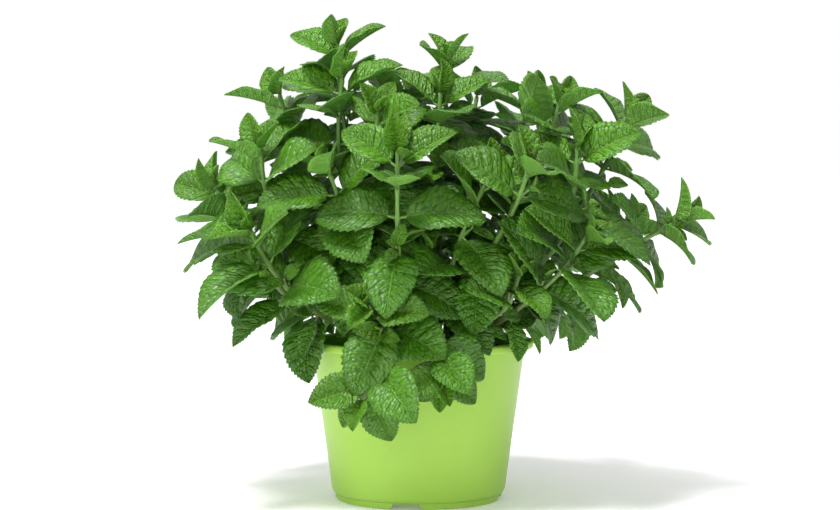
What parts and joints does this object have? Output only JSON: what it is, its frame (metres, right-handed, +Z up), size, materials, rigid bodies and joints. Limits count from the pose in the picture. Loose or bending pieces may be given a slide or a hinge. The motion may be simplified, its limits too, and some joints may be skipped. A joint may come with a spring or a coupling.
{
  "type": "potted mint plant",
  "caption": "Bushy mint plant in a tapered plastic pot: leafy shoots rise from the soil in a dome and hang a little over the rim.",
  "frame": {"origin": "centre of the pot's underside, at the height of the surface that the pot stands on, on the pot's axis", "axes": "+Z up along the pot's axis, -Y towards the plant's front, +X to the right as seen from the front"},
  "size_m": [0.3064, 0.2638, 0.2727],
  "materials": {
    "pot_plastic": "satin",
    "potting_soil": "matte",
    "mint_leaf": "satin",
    "mint_shoot": "satin"
  },
  "bodies": {
    "root": {"back_far_left": "mint_shoot", "back_far_right": "mint_shoot", "back_left": "mint_shoot", "back_left_leaf_a": "mint_leaf", "back_left_leaf_b": "mint_leaf", "back_low_left": "mint_shoot", "back_low_mid": "mint_shoot", "back_low_right": "mint_shoot", "back_mid": "mint_shoot", "back_right": "mint_shoot", "back_upper": "mint_shoot", "centre_low": "mint_shoot", "crown_inner": "mint_shoot", "crown_left": "mint_shoot", "crown_mid": "mint_shoot", "crown_right": "mint_shoot", "far_left": "mint_shoot", "far_left_leaf_a": "mint_leaf", "far_left_leaf_b": "mint_leaf", "far_right": "mint_shoot", "far_right_leaf_a": "mint_leaf", "far_right_leaf_b": "mint_leaf", "front_hanging": "mint_shoot", "front_left": "mint_shoot", "front_left_low": "mint_shoot", "front_left_low_leaf_a": "mint_leaf", "front_left_low_leaf_b": "mint_leaf", "front_low": "mint_shoot", "front_mid": "mint_shoot", "front_mid_leaf_a": "mint_leaf", "front_mid_leaf_b": "mint_leaf", "front_right_low": "mint_shoot", "front_tall": "mint_shoot", "front_tall_leaf_a": "mint_leaf", "front_tall_leaf_b": "mint_leaf", "left_high": "mint_shoot", "left_high_leaf_a": "mint_leaf", "left_high_leaf_b": "mint_leaf", "left_inner_low": "mint_shoot", "left_shoulder": "mint_shoot", "pot": "pot_plastic", "potting_soil": "potting_soil", "right_front": "mint_shoot", "right_front_leaf_a": "mint_leaf", "right_front_leaf_b": "mint_leaf", "right_high": "mint_shoot", "right_high_leaf_a": "mint_leaf", "right_high_leaf_b": "mint_leaf", "right_inner": "mint_shoot", "right_low": "mint_shoot", "right_low_leaf_a": "mint_leaf", "right_low_leaf_b": "mint_leaf", "right_mid": "mint_shoot", "upper_front": "mint_shoot", "upper_left": "mint_shoot", "upper_left_leaf_a": "mint_leaf", "upper_left_leaf_b": "mint_leaf", "upper_mid": "mint_shoot", "upper_right": "mint_shoot"}
  },
  "joints": []
}
